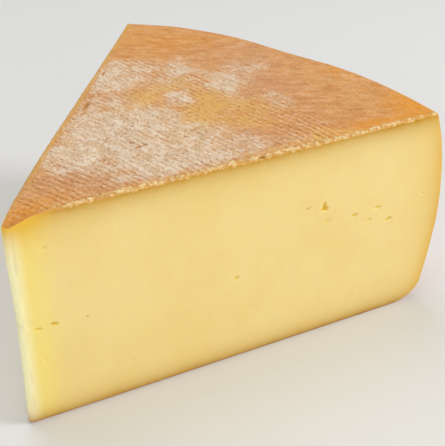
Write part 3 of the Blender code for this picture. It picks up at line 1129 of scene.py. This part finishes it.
def washed_rind():
    kit = Recipe("washed_rind")
    crest, lip, hollow, bloom, ochre, orange, pink = kit.attributes(*LOOK_ATTRIBUTES)
    cloud = kit.noise(14 * MM, detail=4)
    mottle = kit.noise(4.5 * MM, detail=5, roughness=0.62)
    haze = kit.noise(3 * MM, detail=4, roughness=0.6, stretch=1.8, turn=THREAD_TURN)
    streak = kit.noise(2.6 * MM, detail=4, roughness=0.6, stretch=2.6, turn=math.radians(-30))
    vein = kit.noise(1.7 * MM, stretch=1.6, turn=THREAD_TURN)
    speck = kit.noise(1 * MM, roughness=0.65)
    dash = kit.noise(0.7 * MM, roughness=0.6, stretch=2.4, turn=THREAD_TURN)
    fleck = kit.noise(0.6 * MM, roughness=0.6)
    wrinkle = kit.spread(kit.math("ABSOLUTE", kit.math("SUBTRACT", vein, 0.5)), 0.028, 0.0)
    ragged = kit.plus(ochre, kit.centred(mottle, 1.5))
    ochre = kit.times(kit.spread(ragged, 0.1, 0.85), kit.spread(ochre, 0.02, 0.25))

    kit.colour = kit.mix(kit.spread(cloud, 0.35, 0.65), seen(218, 151, 84), seen(225, 163, 95))
    kit.lay(kit.spread(streak, 0.5, 0.64, 0, 0.65), seen(236, 184, 132))
    kit.lay(kit.spread(streak, 0.48, 0.36, 0, 0.55), seen(196, 124, 60))
    kit.lay(kit.times(orange, 0.9), seen(240, 157, 26))
    kit.lay(kit.times(pink, 0.55), seen(204, 152, 122))
    kit.lay(kit.times(ochre, 0.9), seen(231, 179, 94))

    standing = kit.plus(crest, kit.centred(dash, 1.1))
    settled = kit.plus(bloom, kit.centred(standing, 0.55))
    settled = kit.plus(settled, kit.centred(speck, 1.0))
    settled = kit.plus(settled, kit.centred(mottle, 1.1))
    dusty = kit.times(kit.spread(settled, -0.05, 0.75), kit.spread(bloom, 0.02, 0.3))
    dust = kit.mix(kit.spread(haze, 0.4, 0.6), seen(229, 201, 163), seen(239, 221, 196))
    kit.lay(dusty, dust)
    creases = kit.times(wrinkle, kit.times(bloom, 0.5))
    kit.lay(creases, seen(178, 124, 84))
    flecks = kit.times(kit.spread(fleck, 0.52, 0.38), kit.math("MULTIPLY_ADD", bloom, 0.7, 0.25))
    flecks = kit.times(flecks, kit.spread(haze, 0.62, 0.42, 0.25, 1.0))
    kit.lay(flecks, seen(176, 122, 80))
    bright = kit.times(kit.spread(fleck, 0.54, 0.7, 0, 0.7), bloom)
    kit.lay(bright, seen(248, 232, 206))
    # Painted shade and highlight, partly the rind's own tone: darker brown in the grooves, lighter on
    # the ridge tops
    groove_tone_and_shade = kit.spread(standing, 0.46, 0.08, 0, 0.75)
    kit.lay(groove_tone_and_shade, kit.mix(dusty, seen(178, 108, 48), seen(198, 152, 118)))
    top = kit.spread(standing, 0.54, 0.92, 0, 0.7)
    kit.lay(top, kit.mix(ochre, seen(240, 208, 168), seen(240, 208, 142)))
    kit.lay(kit.spread(hollow, 0.08, 0.5, 0, 0.85), seen(200, 138, 66))
    crumbs_over(kit, lip)
    # Painted shade: dark brown in the deepest parts of the cracks and of the hole in the rind's edge
    kit.lay(kit.spread(hollow, 0.7, 1.0), seen(128, 70, 24))

    rough = kit.math("MULTIPLY_ADD", bloom, 0.2, kit.spread(speck, 0.3, 0.7, 0.5, 0.64))
    grain = kit.plus(speck, kit.plus(kit.times(dash, 0.8), kit.times(fleck, 0.6)))
    grain = kit.plus(grain, kit.plus(kit.times(streak, 0.7), kit.times(wrinkle, -0.3)))
    normal = kit.bump(grain, 0.24 * MM)
    kit.let_light_in(0.1, (1.0, 0.5, 0.25), 1 * MM)
    return kit.finish(rough, normal)


rind_material = washed_rind()
print("made", rind_material.name)

# %% [markdown]
# ## The paste
# The paste is smooth, moist and lets light in, so it needs subsurface scattering. It darkens towards
# the rind: olive gold under the top, partly its own colour and partly painted shade under the rind,
# which turns golden where the top sags at the tip, amber at the heel and gold brown at the foot. Each
# fades out over 3 to 4 mm. The tip itself, where two cuts meet, is painted pale as a highlight, and
# the paste behind it a stronger yellow, painted light for the light that shines through the thin tip.

# %% Paste material


def plan_reach(kit, place):
    """Distance from an upright line, in the plan."""
    flat = kit.node("VectorMath")
    flat.operation = "MULTIPLY"
    flat.inputs[1].default_value = (1, 1, 0)
    kit.links.new(kit.place, flat.inputs[0])
    away = kit.node("VectorMath")
    away.operation = "DISTANCE"
    kit.links.new(flat.outputs["Vector"], away.inputs[0])
    away.inputs[1].default_value = place
    return away.outputs["Value"]


def paste():
    kit = Recipe("paste")
    lip, hollow = kit.attributes("lip", "hollow")
    cloud = kit.noise(30 * MM)
    mottle = kit.noise(6 * MM, detail=4)
    fine = kit.noise(0.9 * MM)
    height = kit.axis("Z")
    reach = plan_reach(kit, TIP_CORNER)
    waver = kit.centred(mottle, 2 * MM)

    kit.colour = kit.mix(kit.spread(cloud, 0.35, 0.65), seen(241, 213, 136), seen(243, 217, 144))
    kit.lay(kit.spread(mottle, 0.5, 0.8, 0, 0.3), seen(240, 209, 138))
    kit.lay(kit.spread(mottle, 0.5, 0.2, 0, 0.25), seen(240, 220, 150))
    # Painted light: a stronger yellow behind the tip for the light that shines through the thin paste,
    # and a pale painted highlight on the rounded tip itself
    near_tip = kit.spread(kit.plus(reach, waver), 17 * MM, 7 * MM, 0.0, 0.75)
    kit.lay(near_tip, seen(249, 225, 122))
    tip_highlight = kit.spread(reach, 7.5 * MM, 2.5 * MM, 0, 0.9)
    kit.lay(tip_highlight, seen(255, 246, 200))

    # Partly the paste's own colour, partly painted shade: olive gold under the top rind
    under_top = kit.math("SUBTRACT", HEIGHT, kit.plus(height, kit.times(waver, 0.7)))
    kit.lay(kit.fade(under_top, 3.2 * MM, 1.1), seen(195, 142, 4))
    under_sag = kit.math("SUBTRACT", HEIGHT - TIP_SAG, height)
    golden = kit.times(kit.fade(under_sag, 4 * MM), kit.spread(reach, 20 * MM, 6 * MM))
    kit.lay(golden, seen(235, 189, 60))
    above_foot = kit.plus(height, kit.times(waver, 0.6))
    kit.lay(kit.fade(above_foot, 3 * MM, 1.12), seen(182, 132, 10))
    below = kit.math("SUBTRACT", height, SWELL_HEIGHT)
    bulge = kit.times(kit.times(below, below), -HEEL_SWELL / SWELL_REACH_DOWN**2)
    from_heel = kit.math("SUBTRACT", kit.plus(bulge, RIM_RADIUS + HEEL_SWELL), reach)
    kit.lay(kit.fade(from_heel, 4 * MM, 0.94), seen(219, 166, 20))
    kit.lay(kit.spread(height, 0.8 * MM, 0.2 * MM, 0, 0.4), seen(160, 106, 50))
    kit.lay(kit.spread(hollow, 0.08, 0.8, 0, 0.9), seen(240, 208, 66))
    crumbs_over(kit, lip)

    rough = kit.spread(mottle, 0.3, 0.7, 0.42, 0.52)
    normal = kit.bump(kit.plus(fine, kit.times(mottle, 0.6)), 0.1 * MM)
    kit.let_light_in(0.4, (1.0, 0.7, 0.3), 2.2 * MM)
    return kit.finish(rough, normal)


paste_material = paste()
print("made", paste_material.name)

# %% [markdown]
# ## The finished wedge
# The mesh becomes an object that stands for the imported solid. Its points already carry their places,
# so the object itself stays at the origin, unturned.

# %% Make the wedge object
scene = bpy.context.scene


def into_scene(name, data):
    made = bpy.data.objects.new(name, data)
    scene.collection.objects.link(made)
    return made


def object_from(name, shell, materials):
    mesh = bpy.data.meshes.new(name)
    shell.to_mesh(mesh)
    shell.free()
    for material in materials:
        mesh.materials.append(material)
    return into_scene(name, mesh)


body = object_from("cheese_wedge", wedge, [rind_material, paste_material])
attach(body, "root")
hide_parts("raclette_wedge")
body.data.calc_loop_triangles()
print(body.name, "has", len(body.data.loop_triangles), "triangles")

# %% [markdown]
# ## Floor, light and camera
# A plain pale floor and four large soft lights, as on a photographer's table: the key comes low from
# the right, so that it grazes the cloth print, and the others only fill the shadows. The camera stands
# where the photograph was taken from, which was solved from the wedge's outline in the picture.

# %% Floor
FLOOR_SIDE = 4.0


def plain_floor():
    shell = bmesh.new()
    bmesh.ops.create_grid(shell, x_segments=1, y_segments=1, size=FLOOR_SIDE / 2)
    material = bpy.data.materials.new("pale_floor")
    material.use_nodes = True
    shader = material.node_tree.nodes["Principled BSDF"]
    shader.inputs["Base Color"].default_value = seen(228, 228, 226)
    shader.inputs["Roughness"].default_value = 0.7
    return object_from("floor", shell, [material])


floor = plain_floor()
print("floor", FLOOR_SIDE, "m wide")

# %% Lights
MIDDLE = Vector((0, 0, HEIGHT / 2))
ROOM_LIGHT = 0.29


def soft_light(name, place, side, power):
    data = bpy.data.lights.new(name, "AREA")
    data.shape = "SQUARE"
    data.size = side
    data.energy = power
    light = into_scene(name, data)
    light.location = place
    light.rotation_euler = (MIDDLE - Vector(place)).to_track_quat("-Z", "Y").to_euler()


soft_light("key", (0.85, -0.5, 0.62), 0.45, 6.8)
soft_light("fill", (-0.35, -1.0, 0.45), 0.9, 3.8)
soft_light("top", (0.0, 0.45, 0.95), 0.8, 4.4)
soft_light("left", (-1.0, -0.35, 0.5), 0.6, 1.6)

scene.world = bpy.data.worlds.new("soft room")
scene.world.use_nodes = True
background = scene.world.node_tree.nodes["Background"]
background.inputs["Color"].default_value = (1, 1, 1, 1)
background.inputs["Strength"].default_value = ROOM_LIGHT
scene.view_settings.view_transform = "Standard"
print("four soft lights and a pale room")

# %% Camera
IMAGE_LONG_SIDE = 446
FOCAL_PIXELS = 941.6
SENSOR = 36
CAMERA_FROM_TIP = Vector((-43.06, -215.12, 212.25)) * MM
LOOK_DOWN = math.radians(32.88)
LOOK_TURN = math.radians(-27.39)
LOOK_ROLL = math.radians(0.5)


def photo_camera():
    ahead = Vector((-math.sin(LOOK_TURN), math.cos(LOOK_TURN), 0)) * math.cos(LOOK_DOWN)
    ahead.z = -math.sin(LOOK_DOWN)
    level = Vector((math.cos(LOOK_TURN), math.sin(LOOK_TURN), 0))
    up = level.cross(ahead)
    right = level * math.cos(LOOK_ROLL) + up * math.sin(LOOK_ROLL)
    up = up * math.cos(LOOK_ROLL) - level * math.sin(LOOK_ROLL)
    data = bpy.data.cameras.new("camera")
    data.sensor_width = SENSOR
    data.lens = SENSOR * FOCAL_PIXELS / IMAGE_LONG_SIDE
    data.clip_start = 0.01
    camera = into_scene("camera", data)
    turn = Matrix((right, up, -ahead)).transposed().to_4x4()
    camera.matrix_world = Matrix.Translation(CAMERA_FROM_TIP + TIP_CORNER) @ turn
    scene.camera = camera
    print("camera with a lens of", round(data.lens, 1), "mm")


photo_camera()
